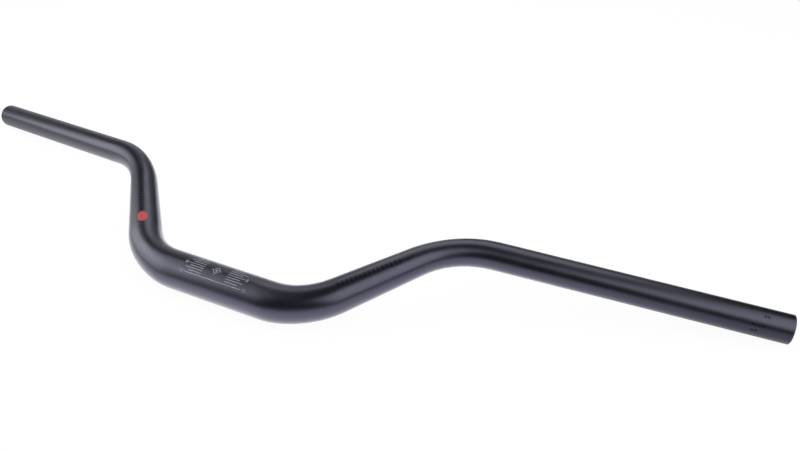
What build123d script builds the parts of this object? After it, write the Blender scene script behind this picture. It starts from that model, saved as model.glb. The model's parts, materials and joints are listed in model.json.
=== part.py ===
# Riser handlebar: one butted aluminium tube, swaged to two diameters, bent four times and cut square.
#
# The bar lies on a table as it comes to rest, on the underside of its clamp zone and on both grip ends.
# X runs along the clamp zone, +Z is up, and the rise points to +Y with the grips sweeping back and down.
# The origin is the middle of the clamp zone. Sizes are in millimetres and degrees.

import os
from math import asin, atan2, ceil, cos, degrees, hypot, pi, radians, sin, tan

from build123d import *

# Sizes that a buyer reads: width over the ends, and the two diameters that the bike's other parts fit.
overall_width = 800.0
clamp_diameter = 31.8
grip_diameter = 22.2

# The straight middle: the plain cylinder that the stem grips, and the straight run left before each bend.
clamp_length = 80.0
clamp_shoulder = 4.0

# The bends, along the middle of the tube: up out of the clamp zone, then over into the grip.
rise_angle = 50.5
inner_bend_radius = 66.0
slant_length = 64.0
outer_bend_radius = 88.0
back_sweep = 9.9
up_sweep = 9.6

# A bend flattens the tube a little in the middle of its turn.
bend_flattening = 0.035

# The swaged taper starts at the clamp zone's edge and eases in and out over a short length.
taper_length = 150.0
taper_ease = 16.0

# Butted walls: thick where the stem clamps, thinner at the grips.
clamp_wall = 2.4
grip_wall = 2.0

# The cut ends: the outer edge is bevelled so that grips slide on, and the inner edge is just broken.
end_chamfer = 0.5
bore_chamfer = 0.4

# How closely the bent stretch is drawn along the tube.
section_spacing = 8.0

clamp_radius = clamp_diameter / 2
grip_radius = grip_diameter / 2
clamp_edge = clamp_length / 2

# The tube's middle line in the bar's own axes: clamp zone along X, sweep back along Y, rise along Z.
slant_way = Vector(cos(radians(rise_angle)), 0, sin(radians(rise_angle)))
level_way = Vector(cos(radians(back_sweep)), sin(radians(back_sweep)), 0)
grip_way = level_way * cos(radians(up_sweep)) + Vector(0, 0, sin(radians(up_sweep)))
grip_turn = slant_way.get_angle(grip_way)

inner_setback = inner_bend_radius * tan(radians(rise_angle) / 2)
outer_setback = outer_bend_radius * tan(radians(grip_turn) / 2)
inner_corner = Vector(clamp_edge + clamp_shoulder + inner_setback, 0, 0)
outer_corner = inner_corner + slant_way * (inner_setback + slant_length + outer_setback)
grip_end = outer_corner + grip_way * ((overall_width / 2 - outer_corner.X) / grip_way.X)

# Where each bend starts and ends, and where the grip starts, along the middle line from the bar's centre.
inner_start = clamp_edge + clamp_shoulder
inner_bend = (inner_start, inner_start + inner_bend_radius * radians(rise_angle))
outer_start = inner_bend[1] + slant_length
outer_bend = (outer_start, outer_start + outer_bend_radius * radians(grip_turn))
grip_start = max(outer_bend[1], clamp_edge + taper_length)

# At rest the rise leans up from the table until the grip ends lie level with the clamp zone's underside.
end_reach = hypot(grip_end.Y, grip_end.Z)
rest_lean = atan2(grip_end.Y, grip_end.Z) + asin((grip_radius - clamp_radius) / end_reach)
bar_axes = Plane(origin=(0, 0, 0), x_dir=(1, 0, 0), z_dir=(0, cos(rest_lean), sin(rest_lean)))


def taper_share(along):
    """How far the swaged taper has gone at a distance along the tube: 0 at the clamp zone, 1 at the grip."""
    done = min(max(along - clamp_edge, 0), taper_length)
    left = taper_length - done
    slope = 1 / (taper_length - taper_ease)
    if done < taper_ease:
        return slope * done**2 / (2 * taper_ease)
    if left < taper_ease:
        return 1 - slope * left**2 / (2 * taper_ease)
    return slope * (done - taper_ease / 2)


def flattening(along):
    """The share of its height in the bend's plane that the tube loses at a distance along it."""
    for start, end in (inner_bend, outer_bend):
        if start < along < end:
            return bend_flattening * sin(pi * (along - start) / (end - start)) ** 2
    return 0


def tube_plane(along):
    """The plane square to the tube at a distance along it, with its x axis across both bends."""
    point = tube_path.position_at(along, position_mode=PositionMode.LENGTH)
    way = tube_path.tangent_at(along, position_mode=PositionMode.LENGTH)
    return Plane(origin=point, x_dir=bar_axes.y_dir, z_dir=way)


def ring(along):
    """The tube's cut face at a distance along it: a round ring, a little flattened inside a bend."""
    share = taper_share(along)
    outside = clamp_radius + (grip_radius - clamp_radius) * share
    inside = outside - clamp_wall - (grip_wall - clamp_wall) * share
    height = 1 - flattening(along)
    with BuildSketch(tube_plane(along)) as cut_face:
        if height == 1:
            Circle(outside)
            Circle(inside, mode=Mode.SUBTRACT)
        else:
            Ellipse(outside, outside * height)
            Ellipse(inside, inside * height, mode=Mode.SUBTRACT)
    return cut_face.sketch


def rings(start, end):
    """Evenly spaced cut faces over a stretch of the tube, its two ends included."""
    spaces = ceil((end - start) / section_spacing)
    return [ring(start + (end - start) * index / spaces) for index in range(spaces + 1)]


with BuildLine(bar_axes) as middle_line:
    FilletPolyline(
        (0, 0, 0),
        tuple(inner_corner),
        tuple(outer_corner),
        tuple(grip_end),
        radius=(inner_bend_radius, outer_bend_radius),
    )
tube_path = middle_line.wire()

with BuildPart() as handlebar_tube:
    # Half of the clamp zone.
    extrude(ring(0), amount=clamp_edge)

    # Out of the clamp zone and up through the inner bend.
    loft(rings(clamp_edge, inner_bend[1]))

    # The straight slant, a plain cone.
    loft([ring(inner_bend[1]), ring(outer_bend[0])], ruled=True)

    # Over through the outer bend, and on to the end of the taper.
    loft(rings(outer_bend[0], grip_start))

    # The straight grip, with the sharp edges of its cut end taken off.
    extrude(ring(grip_start), amount=tube_path.length - grip_start)
    cut_edges = faces().sort_by(Axis.X)[-1].edges().sort_by(SortBy.RADIUS)
    chamfer(cut_edges[0], length=bore_chamfer)
    chamfer(cut_edges[-1], length=end_chamfer)

    # The other half is the same, mirrored.
    mirror(about=Plane.YZ)

os.makedirs("parts", exist_ok=True)
handlebar_tube.part.label = "handlebar_tube"
export_step(handlebar_tube.part, "parts/handlebar_tube.step")

print("rest lean", round(degrees(rest_lean), 3), "degrees")
print("half length along the tube", round(tube_path.length, 2), "mm")
print("volume", round(handlebar_tube.part.volume), "mm3")
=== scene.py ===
# Riser handlebar: a satin black tube with small prints, on a white table under studio softboxes.
import json
from math import cos, pi, radians, sin

import bpy
from mathutils import Matrix, Vector


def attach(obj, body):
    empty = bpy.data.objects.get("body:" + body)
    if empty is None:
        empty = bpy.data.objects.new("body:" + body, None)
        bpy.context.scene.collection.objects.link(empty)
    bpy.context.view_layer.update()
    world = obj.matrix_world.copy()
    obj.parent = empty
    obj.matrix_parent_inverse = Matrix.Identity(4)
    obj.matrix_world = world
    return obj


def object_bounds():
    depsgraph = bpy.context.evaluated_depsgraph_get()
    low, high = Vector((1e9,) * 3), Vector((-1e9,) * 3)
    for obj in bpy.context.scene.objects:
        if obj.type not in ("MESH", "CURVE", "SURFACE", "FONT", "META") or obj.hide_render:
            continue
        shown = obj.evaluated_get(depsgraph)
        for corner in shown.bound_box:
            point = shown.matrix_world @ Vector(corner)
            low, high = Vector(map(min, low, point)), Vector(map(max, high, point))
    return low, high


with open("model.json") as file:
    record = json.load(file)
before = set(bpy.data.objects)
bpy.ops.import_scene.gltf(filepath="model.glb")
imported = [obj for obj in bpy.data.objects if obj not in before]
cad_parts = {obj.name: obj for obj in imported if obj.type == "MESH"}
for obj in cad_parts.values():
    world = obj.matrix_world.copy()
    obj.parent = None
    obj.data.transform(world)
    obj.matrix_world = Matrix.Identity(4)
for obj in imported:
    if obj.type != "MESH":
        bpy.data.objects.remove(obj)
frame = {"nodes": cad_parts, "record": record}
cad_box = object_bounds()

mm = 0.001
tube = frame["nodes"]["handlebar_tube"]
mounts = {mount["name"]: mount for mount in frame["record"]["mounts"]}

# The camera, as the photo was taken: where it stands, where it looks and what its lens frames. The lens and
# the sensor are in millimetres, and the shift is in shares of the sensor's width.
camera_place = Vector((382.7, -405.6, 408.1)) * mm
camera_azimuth = radians(30.09)
camera_pitch = radians(-35.50)
camera_roll = radians(-2.12)
camera_lens = 38.97
camera_sensor = 36
camera_shift = (0.0227, 0.0395)
camera_nearest = 10 * mm

# The softboxes: bearing to the right of the camera's azimuth and height above level in degrees, distance and
# size in metres, and how bright the panel looks. The near ones are a little warm, and the far ones a little
# cool.
near_tint = (1.01, 1.01, 0.98)
far_tint = (0.97, 0.95, 1.08)
softboxes = {
    "left_softbox": {
        "bearing": -97.8, "height": 24.6, "distance": 0.7,
        "size": (0.75, 0.53), "glow": 3.19, "tint": near_tint,
    },
    "left_lamp": {
        "bearing": -105.2, "height": 44.2, "distance": 1.1,
        "size": (0.95, 0.8), "glow": 1.96, "tint": near_tint,
    },
    "top_softbox": {
        "bearing": 151.9, "height": 51.4, "distance": 0.7,
        "size": (0.73, 0.43), "glow": 2.27, "tint": near_tint,
    },
    "front_softbox": {
        "bearing": 56.1, "height": 39.3, "distance": 3.54,
        "size": (5.76, 3.93), "glow": 3.63, "tint": near_tint,
    },
    "back_softbox": {
        "bearing": 172.4, "height": 26.9, "distance": 5.2,
        "size": (4.8, 3.49), "glow": 0.47, "tint": far_tint,
    },
    "backdrop": {
        "bearing": -149.9, "height": 5.3, "distance": 5.16,
        "size": (6.77, 1.86), "glow": 0.78, "tint": far_tint,
    },
}

# The white table, with a painted pool of light round the middle of the bar: the table itself glows there.
# The bar mirrors the table's light and shade, and the camera sees the table as plain white with a faint
# shadow.
table_size = 12.0
table_height = cad_box[0].z
table_white = (0.25, 0.26, 0.3)
# The painted pool of light: its tint, its peak glow, its middle, its radius and how sharply it fades.
painted_pool_tint = (1.0, 0.965, 1.035)
painted_pool_glow = 2.24
painted_pool_middle = (0.052, 0.061)
painted_pool_radius = 0.308
painted_pool_sharpness = 2.79
seen_white = (0.04, 0.04, 0.04)
seen_glow = 0.95

# The right end, which the left end mirrors: the middle of its cut face, the way out of it, its radii and
# its bevel.
grip = mounts["grip_right"]
grip_way = Vector(grip["axis"])
grip_length = grip["dims"]["length_mm"] * mm
grip_radius = grip["dims"]["r_mm"] * mm
bore_radius = mounts["end_bore_right"]["dims"]["r_mm"] * mm
cut_middle = Vector(grip["pos_m"]) + grip_way * grip_length / 2
cut_bevel = 0.5 * mm

# A noise mostly stays between these two values, so the two ends of a finish's range are set at them.
noise_low = 0.3
noise_high = 0.7

# The tube's finish: its darkest and lightest black, its sharpest and dullest shine, and its grain.
tube_ior = 1.596
tube_tint = (0.71, 0.735, 1.0)
tube_black = ((0.0006, 0.0007, 0.001), (0.0014, 0.0016, 0.0022))
tube_shine = (0.31, 0.35)
tube_grains_per_metre = 2600
tube_patches_per_metre = 45
tube_bump = 0.08
grain_detail = 2
patch_detail = 4
grain_depth = 0.02 * mm

# Inside the bore the drawing die left lines, and the cutter left rings on the cut faces and their bevels.
bore_black = ((0.004, 0.004, 0.005), (0.016, 0.016, 0.018))
bore_shine = (0.48, 0.62)
bore_lines_per_metre = 1500
bore_line_detail = 3
cut_black = ((0.008, 0.008, 0.009), (0.026, 0.026, 0.029))
cut_shine = (0.36, 0.46)
cut_rings_per_metre = 6000
cut_ring_detail = 2

# Where these two finishes end, each from where it is full to where it is gone: the bore's in shares of the
# wall and of the grip's length, and the cut face's in shares of its bevel.
bore_edge = (0.2, 0.3)
bore_depth = (0.9, 1.0)
cut_depth = (1.0, 1.1)

# The inks: thinnest and thickest colour, sharpest and dullest shine, and how much they mirror.
ink_black = ((0.0005, 0.0005, 0.0007), (0.001, 0.001, 0.0014))
pale_ink = {
    "colours": ((0.154, 0.161, 0.186), (0.228, 0.238, 0.27)),
    "shine": (0.45, 0.6),
    "mirror": 0.35,
}
red_ink = {
    "colours": ((0.235, 0.03, 0.03), (0.31, 0.04, 0.039)),
    "shine": (0.45, 0.6),
    "mirror": 0.35,
}
black_ink = {"colours": ink_black, "shine": (0.27, 0.32), "mirror": 0.42}
trim_ink = {"colours": ink_black, "shine": (0.36, 0.42), "mirror": 0.25}
ink_patches_per_metre = 400
ink_bump = 0.1
print_lift = 0.03 * mm

# The printed scale on the clamp zone. Its zero line lies at a turn about the clamp axis, counted from the
# bar's back up over its top. Each line is drawn in many short pieces, so that it follows the tube.
clamp_radius = mounts["stem_clamp"]["dims"]["r_mm"] * mm
scale_middle = Vector((1.8, 0, 0)) * mm
scale_zero_turn = radians(99.4)
scale_step = radians(7.95) * clamp_radius
scale_steps = 4
scale_line_start = 11.1 * mm
scale_short_end = 23.5 * mm
scale_long_end = 27.0 * mm
scale_line_width = 0.5 * mm
scale_line_pieces = 24
scale_edge_pieces = 60
target_ring_radius = 2.5 * mm
target_tick_end = 4.8 * mm
target_dot_radius = 1.05 * mm
numeral_height = 2.3 * mm
numeral_width = 1.5 * mm
numeral_gap = 1.2 * mm
numeral_step = 2.1 * mm
zero_stroke = 0.55 * mm
ten_stroke = 0.3 * mm

# The plain red spot on the left rise, drawn out along it.
red_spot_place = Vector((-97.7, 26.1, 21.0)) * mm
left_rise_way = Vector((-0.636, 0.746, 0.198))
red_spot_half_length = 6.0 * mm
red_spot_half_width = 4.6 * mm

# The row of plain bars on each rise, from its first bar to its last.
bar_rows = {
    "left_bars": (Vector((-139.3, 73.2, 31.2)) * mm, Vector((-103.8, 33.2, 22.4)) * mm),
    "right_bars": (Vector((97.1, 20.4, 19.7)) * mm, Vector((130.0, 57.4, 27.5)) * mm),
}
bar_count = 15
bar_height = 4.5 * mm
bar_width = 1.6 * mm

# The trim marks near the right end, in rows: degrees from the grip's top towards its front, millimetres from
# the cut face to the first mark, and how many marks.
trim_rows = ((28.8, 18.5, 2), (67.5, 21.0, 4), (90.6, 25.0, 2))
trim_step = 2.4 * mm
trim_mark_length = 1.8 * mm
trim_mark_width = 1.9 * mm


def new_piece(name, vertices, faces):
    """A mesh object in the scene, from its vertices and faces."""
    mesh = bpy.data.meshes.new(name)
    mesh.from_pydata([tuple(vertex) for vertex in vertices], [], faces)
    mesh.update()
    piece = bpy.data.objects.new(name, mesh)
    bpy.context.scene.collection.objects.link(piece)
    return piece


def new_finish(name):
    """A node material: the material, its nodes, its links and its shader."""
    finish = bpy.data.materials.new(name)
    finish.use_nodes = True
    nodes = finish.node_tree.nodes
    return finish, nodes, finish.node_tree.links, nodes["Principled BSDF"]


def add_step(nodes, links, kind, operation, *values):
    """A math or vector math node on sockets and plain values: its result's socket."""
    step = nodes.new(kind)
    step.operation = operation
    for socket, value in zip(step.inputs, values):
        if isinstance(value, bpy.types.NodeSocket):
            links.new(value, socket)
        else:
            socket.default_value = value
    return next(socket for socket in step.outputs if socket.enabled)


def add_noise(nodes, links, kind, place, scale, detail):
    """A noise node over a place: its value's socket."""
    noise = nodes.new("ShaderNodeTexNoise")
    noise.noise_dimensions = kind
    noise.inputs["Scale"].default_value = scale
    noise.inputs["Detail"].default_value = detail
    links.new(place, noise.inputs["W" if kind == "1D" else "Vector"])
    return noise.outputs["Fac"]


def map_value(nodes, links, value, start, end, low, high):
    """Maps a value between two others onto a new range: its result's socket."""
    spread = nodes.new("ShaderNodeMapRange")
    spread.inputs["From Min"].default_value = start
    spread.inputs["From Max"].default_value = end
    spread.inputs["To Min"].default_value = low
    spread.inputs["To Max"].default_value = high
    links.new(value, spread.inputs["Value"])
    return spread.outputs["Result"]


def map_noise(nodes, links, noise, low, high):
    """Spreads a noise between two values."""
    return map_value(nodes, links, noise, noise_low, noise_high, low, high)


def shade_noise(nodes, links, noise, first, second):
    """Spreads a noise between two colours."""
    ramp = nodes.new("ShaderNodeValToRGB")
    ramp.color_ramp.elements[0].position = noise_low
    ramp.color_ramp.elements[0].color = (*first, 1)
    ramp.color_ramp.elements[1].position = noise_high
    ramp.color_ramp.elements[1].color = (*second, 1)
    links.new(noise, ramp.inputs["Fac"])
    return ramp.outputs["Color"]


def mix_zones(nodes, links, kind, base, *zones):
    """Lays zones, each a mask with what shows there, over a base of values or colours."""
    for mask, shown in zones:
        blend = nodes.new("ShaderNodeMix")
        blend.data_type = kind
        sockets = [socket for socket in blend.inputs if socket.enabled]
        for value, socket in zip((mask, base, shown), sockets):
            links.new(value, socket)
        base = next(socket for socket in blend.outputs if socket.enabled)
    return base


def roughen(nodes, links, height, strength, shader):
    """Bumps a shader's normal by a height."""
    bump = nodes.new("ShaderNodeBump")
    bump.inputs["Strength"].default_value = strength
    bump.inputs["Distance"].default_value = grain_depth
    links.new(height, bump.inputs["Height"])
    links.new(bump.outputs["Normal"], shader.inputs["Normal"])


def blasted_grain_group():
    """Fine blasted grain and broad, faint patches, over a surface in metres."""
    group = bpy.data.node_groups.new("blasted_grain", "ShaderNodeTree")
    group.interface.new_socket("Grains per Metre", in_out="INPUT", socket_type="NodeSocketFloat")
    group.interface.new_socket("Patches per Metre", in_out="INPUT", socket_type="NodeSocketFloat")
    group.interface.new_socket("Grain", in_out="OUTPUT", socket_type="NodeSocketFloat")
    group.interface.new_socket("Patch", in_out="OUTPUT", socket_type="NodeSocketFloat")
    nodes, links = group.nodes, group.links
    given = nodes.new("NodeGroupInput")
    made = nodes.new("NodeGroupOutput")
    place = nodes.new("ShaderNodeTexCoord")
    layers = (
        ("Grains per Metre", grain_detail, "Grain"),
        ("Patches per Metre", patch_detail, "Patch"),
    )
    for scale, detail, result in layers:
        noise = nodes.new("ShaderNodeTexNoise")
        noise.inputs["Detail"].default_value = detail
        links.new(place.outputs["Object"], noise.inputs["Vector"])
        links.new(given.outputs[scale], noise.inputs["Scale"])
        links.new(noise.outputs["Fac"], made.inputs[result])
    return group


def add_grain(nodes, group, patches):
    """The blasted grain, placed in a material with its own patches."""
    grain = nodes.new("ShaderNodeGroup")
    grain.node_tree = group
    grain.inputs["Grains per Metre"].default_value = tube_grains_per_metre
    grain.inputs["Patches per Metre"].default_value = patches
    return grain


def cut_end_zones(nodes, links):
    """The bore and the cut faces at both ends: a mask for each, with the marks that its tool left."""
    # The left end is folded over onto the right one.
    place = nodes.new("ShaderNodeTexCoord")
    split = nodes.new("ShaderNodeSeparateXYZ")
    links.new(place.outputs["Object"], split.inputs["Vector"])
    sideways = add_step(nodes, links, "ShaderNodeMath", "ABSOLUTE", split.outputs["X"])
    folded = nodes.new("ShaderNodeCombineXYZ")
    links.new(sideways, folded.inputs["X"])
    links.new(split.outputs["Y"], folded.inputs["Y"])
    links.new(split.outputs["Z"], folded.inputs["Z"])
    folded_place = folded.outputs["Vector"]

    # How far out of the cut face a point lies, and how far from the grip's axis.
    offset = add_step(nodes, links, "ShaderNodeVectorMath", "SUBTRACT", folded_place, cut_middle)
    reach = add_step(nodes, links, "ShaderNodeVectorMath", "DOT_PRODUCT", offset, grip_way)
    off_axis = add_step(nodes, links, "ShaderNodeVectorMath", "CROSS_PRODUCT", offset, grip_way)
    radius = add_step(nodes, links, "ShaderNodeVectorMath", "LENGTH", off_axis)

    wall = grip_radius - bore_radius
    full, gone = (bore_radius + wall * share for share in bore_edge)
    within_bore = map_value(nodes, links, radius, full, gone, 1, 0)
    full, gone = (-grip_length * share for share in bore_depth)
    within_grip = map_value(nodes, links, reach, gone, full, 0, 1)
    bore = add_step(nodes, links, "ShaderNodeMath", "MULTIPLY", within_bore, within_grip)
    full, gone = (-cut_bevel * share for share in cut_depth)
    cut = map_value(nodes, links, reach, gone, full, 0, 1)
    drawn_lines = add_noise(nodes, links, "3D", off_axis, bore_lines_per_metre, bore_line_detail)
    turned_rings = add_noise(nodes, links, "1D", radius, cut_rings_per_metre, cut_ring_detail)
    return (bore, drawn_lines), (cut, turned_rings)


def satin_black(grain_group):
    """The tube's finish: dyed black oxide over blasted aluminium."""
    finish, nodes, links, shader = new_finish("satin_black")
    shader.inputs["IOR"].default_value = tube_ior
    shader.inputs["Specular Tint"].default_value = (*tube_tint, 1)
    grain = add_grain(nodes, grain_group, tube_patches_per_metre)
    patch = grain.outputs["Patch"]
    (bore, drawn_lines), (cut, turned_rings) = cut_end_zones(nodes, links)

    colour = mix_zones(
        nodes, links, "RGBA", shade_noise(nodes, links, patch, *tube_black),
        (bore, shade_noise(nodes, links, drawn_lines, *bore_black)),
        (cut, shade_noise(nodes, links, turned_rings, *cut_black)),
    )
    roughness = mix_zones(
        nodes, links, "FLOAT", map_noise(nodes, links, patch, *tube_shine),
        (bore, map_noise(nodes, links, drawn_lines, *bore_shine)),
        (cut, map_noise(nodes, links, turned_rings, *cut_shine)),
    )
    height = mix_zones(
        nodes, links, "FLOAT", grain.outputs["Grain"],
        (bore, drawn_lines),
        (cut, turned_rings),
    )
    links.new(colour, shader.inputs["Base Color"])
    links.new(roughness, shader.inputs["Roughness"])
    roughen(nodes, links, height, tube_bump, shader)
    return finish


def print_ink(name, grain_group, colours, shine, mirror):
    """A screen print's ink: a little uneven, and as grainy as the tube under it."""
    finish, nodes, links, shader = new_finish(name)
    shader.inputs["Specular IOR Level"].default_value = mirror
    shader.inputs["Specular Tint"].default_value = (*tube_tint, 1)
    grain = add_grain(nodes, grain_group, ink_patches_per_metre)
    patch = grain.outputs["Patch"]
    links.new(shade_noise(nodes, links, patch, *colours), shader.inputs["Base Color"])
    links.new(map_noise(nodes, links, patch, *shine), shader.inputs["Roughness"])
    roughen(nodes, links, grain.outputs["Grain"], ink_bump, shader)
    return finish


def white_table():
    """The table's finish: white, with a painted pool of light, a soft round glow under the bar, and nearly
    even to the camera.
    """
    finish, nodes, links, shader = new_finish("white_table")
    shader.inputs["Base Color"].default_value = (*table_white, 1)
    shader.inputs["Roughness"].default_value = 1.0
    shader.inputs["Specular IOR Level"].default_value = 0.0
    shader.inputs["Emission Color"].default_value = (*painted_pool_tint, 1)

    # The painted pool of light fades as its peak glow / (1 + (distance / its radius) ** its sharpness).
    place = nodes.new("ShaderNodeTexCoord").outputs["Object"]
    middle = (*painted_pool_middle, table_height)
    glow = add_step(nodes, links, "ShaderNodeVectorMath", "DISTANCE", place, middle)
    fall_off = (("DIVIDE", painted_pool_radius), ("POWER", painted_pool_sharpness), ("ADD", 1.0), ("POWER", -1.0))
    for operation, amount in (*fall_off, ("MULTIPLY", painted_pool_glow)):
        glow = add_step(nodes, links, "ShaderNodeMath", operation, glow, amount)
    links.new(glow, shader.inputs["Emission Strength"])

    # What the camera sees instead.
    seen = nodes.new("ShaderNodeBsdfPrincipled")
    seen.inputs["Base Color"].default_value = (*seen_white, 1)
    seen.inputs["Roughness"].default_value = 1.0
    seen.inputs["Specular IOR Level"].default_value = 0.0
    seen.inputs["Emission Color"].default_value = (1, 1, 1, 1)
    seen.inputs["Emission Strength"].default_value = seen_glow
    path = nodes.new("ShaderNodeLightPath")
    choice = nodes.new("ShaderNodeMixShader")
    links.new(path.outputs["Is Camera Ray"], choice.inputs["Fac"])
    links.new(shader.outputs["BSDF"], choice.inputs[1])
    links.new(seen.outputs["BSDF"], choice.inputs[2])
    links.new(choice.outputs["Shader"], nodes["Material Output"].inputs["Surface"])
    return finish


def line(start, end, pieces=12):
    """Points evenly along a straight line."""
    start, end = Vector(start), Vector(end)
    return [start.lerp(end, index / pieces) for index in range(pieces + 1)]


def oval(middle, half_width, half_height, pieces=48):
    """Points round an oval."""
    turns = [2 * pi * index / pieces for index in range(pieces)]
    return [Vector(middle) + Vector((half_width * cos(turn), half_height * sin(turn))) for turn in turns]


def stroke(path, width, closed=False):
    """A flat stroke of even width along a path: its two edges' points and the faces between them."""
    count = len(path)
    points = []
    for index, point in enumerate(path):
        before = path[index - 1] if index or closed else point
        after = path[(index + 1) % count] if closed or index + 1 < count else point
        way = (after - before).normalized()
        side = Vector((-way.y, way.x)) * width / 2
        points += [point - side, point + side]
    faces = []
    for index in range(count if closed else count - 1):
        first = 2 * index
        second = 2 * ((index + 1) % count)
        faces.append((first, second, second + 1, first + 1))
    return points, faces


def filled_oval(half_width, half_height, rings=6, pieces=40):
    """A flat oval, as rings of points round its middle."""
    points = [Vector((0, 0))]
    for ring in range(1, rings + 1):
        points += oval((0, 0), half_width * ring / rings, half_height * ring / rings, pieces)
    faces = [(0, 1 + index, 1 + (index + 1) % pieces) for index in range(pieces)]
    for ring in range(rings - 1):
        inner, outer = 1 + ring * pieces, 1 + (ring + 1) * pieces
        for index in range(pieces):
            follow = (index + 1) % pieces
            faces.append((inner + index, outer + index, outer + follow, inner + follow))
    return points, faces


def scale_lines():
    """The clamp scale laid flat: x along the clamp axis, y round the tube, from the zero line's middle."""
    strokes = []
    for step in range(-scale_steps, scale_steps + 1):
        height = step * scale_step
        end = scale_long_end if step % 2 == 0 else scale_short_end
        if abs(step) == scale_steps:
            path = line((-end, height), (end, height), scale_edge_pieces)
            strokes.append(stroke(path, scale_line_width))
            continue
        for side in (-1, 1):
            path = line((side * scale_line_start, height), (side * end, height), scale_line_pieces)
            strokes.append(stroke(path, scale_line_width))
    return strokes


def scale_target():
    """The round target at the middle of the scale: a ring, a dot and four ticks."""
    ring = oval((0, 0), target_ring_radius, target_ring_radius)
    strokes = [
        stroke(ring, scale_line_width, closed=True),
        filled_oval(target_dot_radius, target_dot_radius),
    ]
    for turn in (0, pi / 2, pi, 3 * pi / 2):
        way = Vector((cos(turn), sin(turn)))
        tick = line(way * target_ring_radius, way * target_tick_end)
        strokes.append(stroke(tick, scale_line_width))
    return strokes


def scale_numerals():
    """Plain numerals beside the lines' ends: 0 at the zero line, and 10 at the outermost lines."""
    strokes = []
    half_width, half_height = numeral_width / 2, numeral_height / 2
    near = scale_long_end + numeral_gap + half_width
    far = near + numeral_step
    for side in (-1, 1):
        zero = oval((side * near, 0), half_width, half_height)
        strokes.append(stroke(zero, zero_stroke, closed=True))
        ones, tens = (far, near) if side > 0 else (-near, -far)
        for height in (-scale_steps * scale_step, scale_steps * scale_step):
            upright = line((tens, height - half_height), (tens, height + half_height))
            strokes.append(stroke(upright, ten_stroke))
            zero = oval((ones, height), half_width, half_height)
            strokes.append(stroke(zero, ten_stroke, closed=True))
    return strokes


def bar_strokes(row_length):
    """A row of plain upright bars, laid flat about its middle."""
    strokes = []
    for index in range(bar_count):
        along = row_length * (index / (bar_count - 1) - 0.5)
        path = line((along, -bar_height / 2), (along, bar_height / 2))
        strokes.append(stroke(path, bar_width))
    return strokes


def trim_strokes():
    """The trim marks laid flat: x along the grip from the cut face, y round it from its top."""
    strokes = []
    for turn, first, count in trim_rows:
        height = radians(turn) * grip_radius
        for index in range(count):
            along = -first * mm - index * trim_step
            path = line((along, height - trim_mark_width / 2), (along, height + trim_mark_width / 2))
            strokes.append(stroke(path, trim_mark_length))
    return strokes


def print_on_tube(name, strokes, finish, place_point):
    """Lays flat strokes on the tube, just proud of it, and fixes them there."""
    vertices, faces = [], []
    for points, corners in strokes:
        start = len(vertices)
        vertices += [place_point(point) for point in points]
        faces += [tuple(start + corner for corner in face) for face in corners]
    piece = new_piece(name, vertices, faces)
    wrap = piece.modifiers.new("lie_on_tube", "SHRINKWRAP")
    wrap.target = tube
    wrap.wrap_method = "NEAREST_SURFACEPOINT"
    wrap.wrap_mode = "ABOVE_SURFACE"
    wrap.offset = print_lift
    for face in piece.data.polygons:
        face.use_smooth = True
    piece.data.materials.append(finish)
    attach(piece, "root")


def wrapped(middle, way, zero, radius):
    """Places flat points round a straight stretch of the tube: x along it, y round it from its zero line."""
    side = way.cross(zero)

    def place_point(point):
        turn = point.y / radius
        return middle + way * point.x + (zero * cos(turn) + side * sin(turn)) * radius

    return place_point


def touching(place, way):
    """Places flat points on the plane that touches the tube nearest a place: x along a way, y across it."""
    _, middle, facing, _ = tube.closest_point_on_mesh(place)
    along = (way - facing * way.dot(facing)).normalized()
    across = facing.cross(along)

    def place_point(point):
        return middle + along * point.x + across * point.y

    return place_point


def print_scale(finish):
    """The pale scale on the clamp zone."""
    clamp_way = Vector((1, 0, 0))
    zero = Vector((0, cos(scale_zero_turn), sin(scale_zero_turn)))
    strokes = scale_lines() + scale_target() + scale_numerals()
    print_on_tube("clamp_scale", strokes, finish, wrapped(scale_middle, clamp_way, zero, clamp_radius))


def print_spot(finish):
    """The red spot on the left rise."""
    strokes = [filled_oval(red_spot_half_length, red_spot_half_width)]
    print_on_tube("red_spot", strokes, finish, touching(red_spot_place, left_rise_way))


def print_bars(finish):
    """The gloss bars on the rises."""
    for name, (first, last) in bar_rows.items():
        row = last - first
        print_on_tube(name, bar_strokes(row.length), finish, touching((first + last) / 2, row))


def print_trim_marks(finish):
    """The dull marks near the right end."""
    up = Vector((0, 0, 1))
    top = (up - grip_way * grip_way.dot(up)).normalized()
    print_on_tube("trim_marks", trim_strokes(), finish, wrapped(cut_middle, grip_way, top, grip_radius))


def lay_table():
    """The table that the bar lies on."""
    half = table_size / 2
    corners = [(x * half, y * half, table_height) for x, y in ((-1, -1), (1, -1), (1, 1), (-1, 1))]
    table = new_piece("white_table", corners, [(0, 1, 2, 3)])
    table.data.materials.append(white_table())


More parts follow.
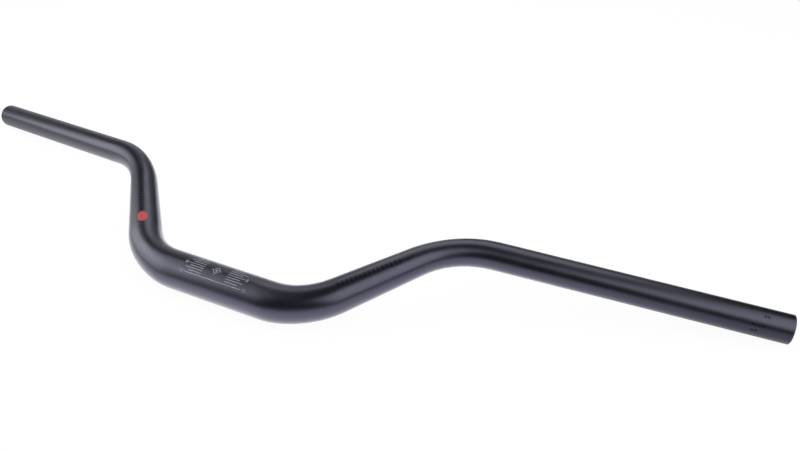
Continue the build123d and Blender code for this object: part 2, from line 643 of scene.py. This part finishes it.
def hang_softbox(name, bearing, height, distance, size, glow, tint):
    """An area light that faces the bar."""
    turn = camera_azimuth + radians(bearing)
    lift = radians(height)
    way = Vector((sin(turn) * cos(lift), -cos(turn) * cos(lift), sin(lift)))
    light = bpy.data.lights.new(name, "AREA")
    light.shape = "RECTANGLE"
    light.size, light.size_y = size
    light.energy = glow * pi * size[0] * size[1]
    light.color = tint
    lamp = bpy.data.objects.new(name, light)
    bpy.context.scene.collection.objects.link(lamp)
    lamp.location = way * distance
    lamp.rotation_euler = (-way).to_track_quat("-Z", "Y").to_euler()
    lamp.visible_camera = False


def darken_room():
    """A dark room that looks white to the camera."""
    world = bpy.data.worlds.new("studio_room")
    bpy.context.scene.world = world
    world.use_nodes = True
    nodes, links = world.node_tree.nodes, world.node_tree.links
    background = nodes["Background"]
    background.inputs["Color"].default_value = (1, 1, 1, 1)
    seen = nodes.new("ShaderNodeLightPath")
    links.new(seen.outputs["Is Camera Ray"], background.inputs["Strength"])


def stand_camera():
    """The photo's camera."""
    data = bpy.data.cameras.new("photo_camera")
    data.lens = camera_lens
    data.sensor_width = camera_sensor
    data.shift_x, data.shift_y = camera_shift
    data.clip_start = camera_nearest
    camera = bpy.data.objects.new("photo_camera", data)
    bpy.context.scene.collection.objects.link(camera)
    aim = Matrix.Rotation(camera_azimuth, 4, "Z") @ Matrix.Rotation(pi / 2 + camera_pitch, 4, "X")
    camera.matrix_world = Matrix.Translation(camera_place) @ aim @ Matrix.Rotation(camera_roll, 4, "Z")
    bpy.context.scene.camera = camera


blasted_grain = blasted_grain_group()
tube.material_slots[0].material = satin_black(blasted_grain)

print_scale(print_ink("pale_ink", blasted_grain, **pale_ink))
print_spot(print_ink("red_ink", blasted_grain, **red_ink))
print_bars(print_ink("black_ink", blasted_grain, **black_ink))
print_trim_marks(print_ink("trim_ink", blasted_grain, **trim_ink))

lay_table()
for softbox, values in softboxes.items():
    hang_softbox(softbox, **values)
darken_room()
stand_camera()
bpy.context.scene.view_settings.view_transform = "Standard"
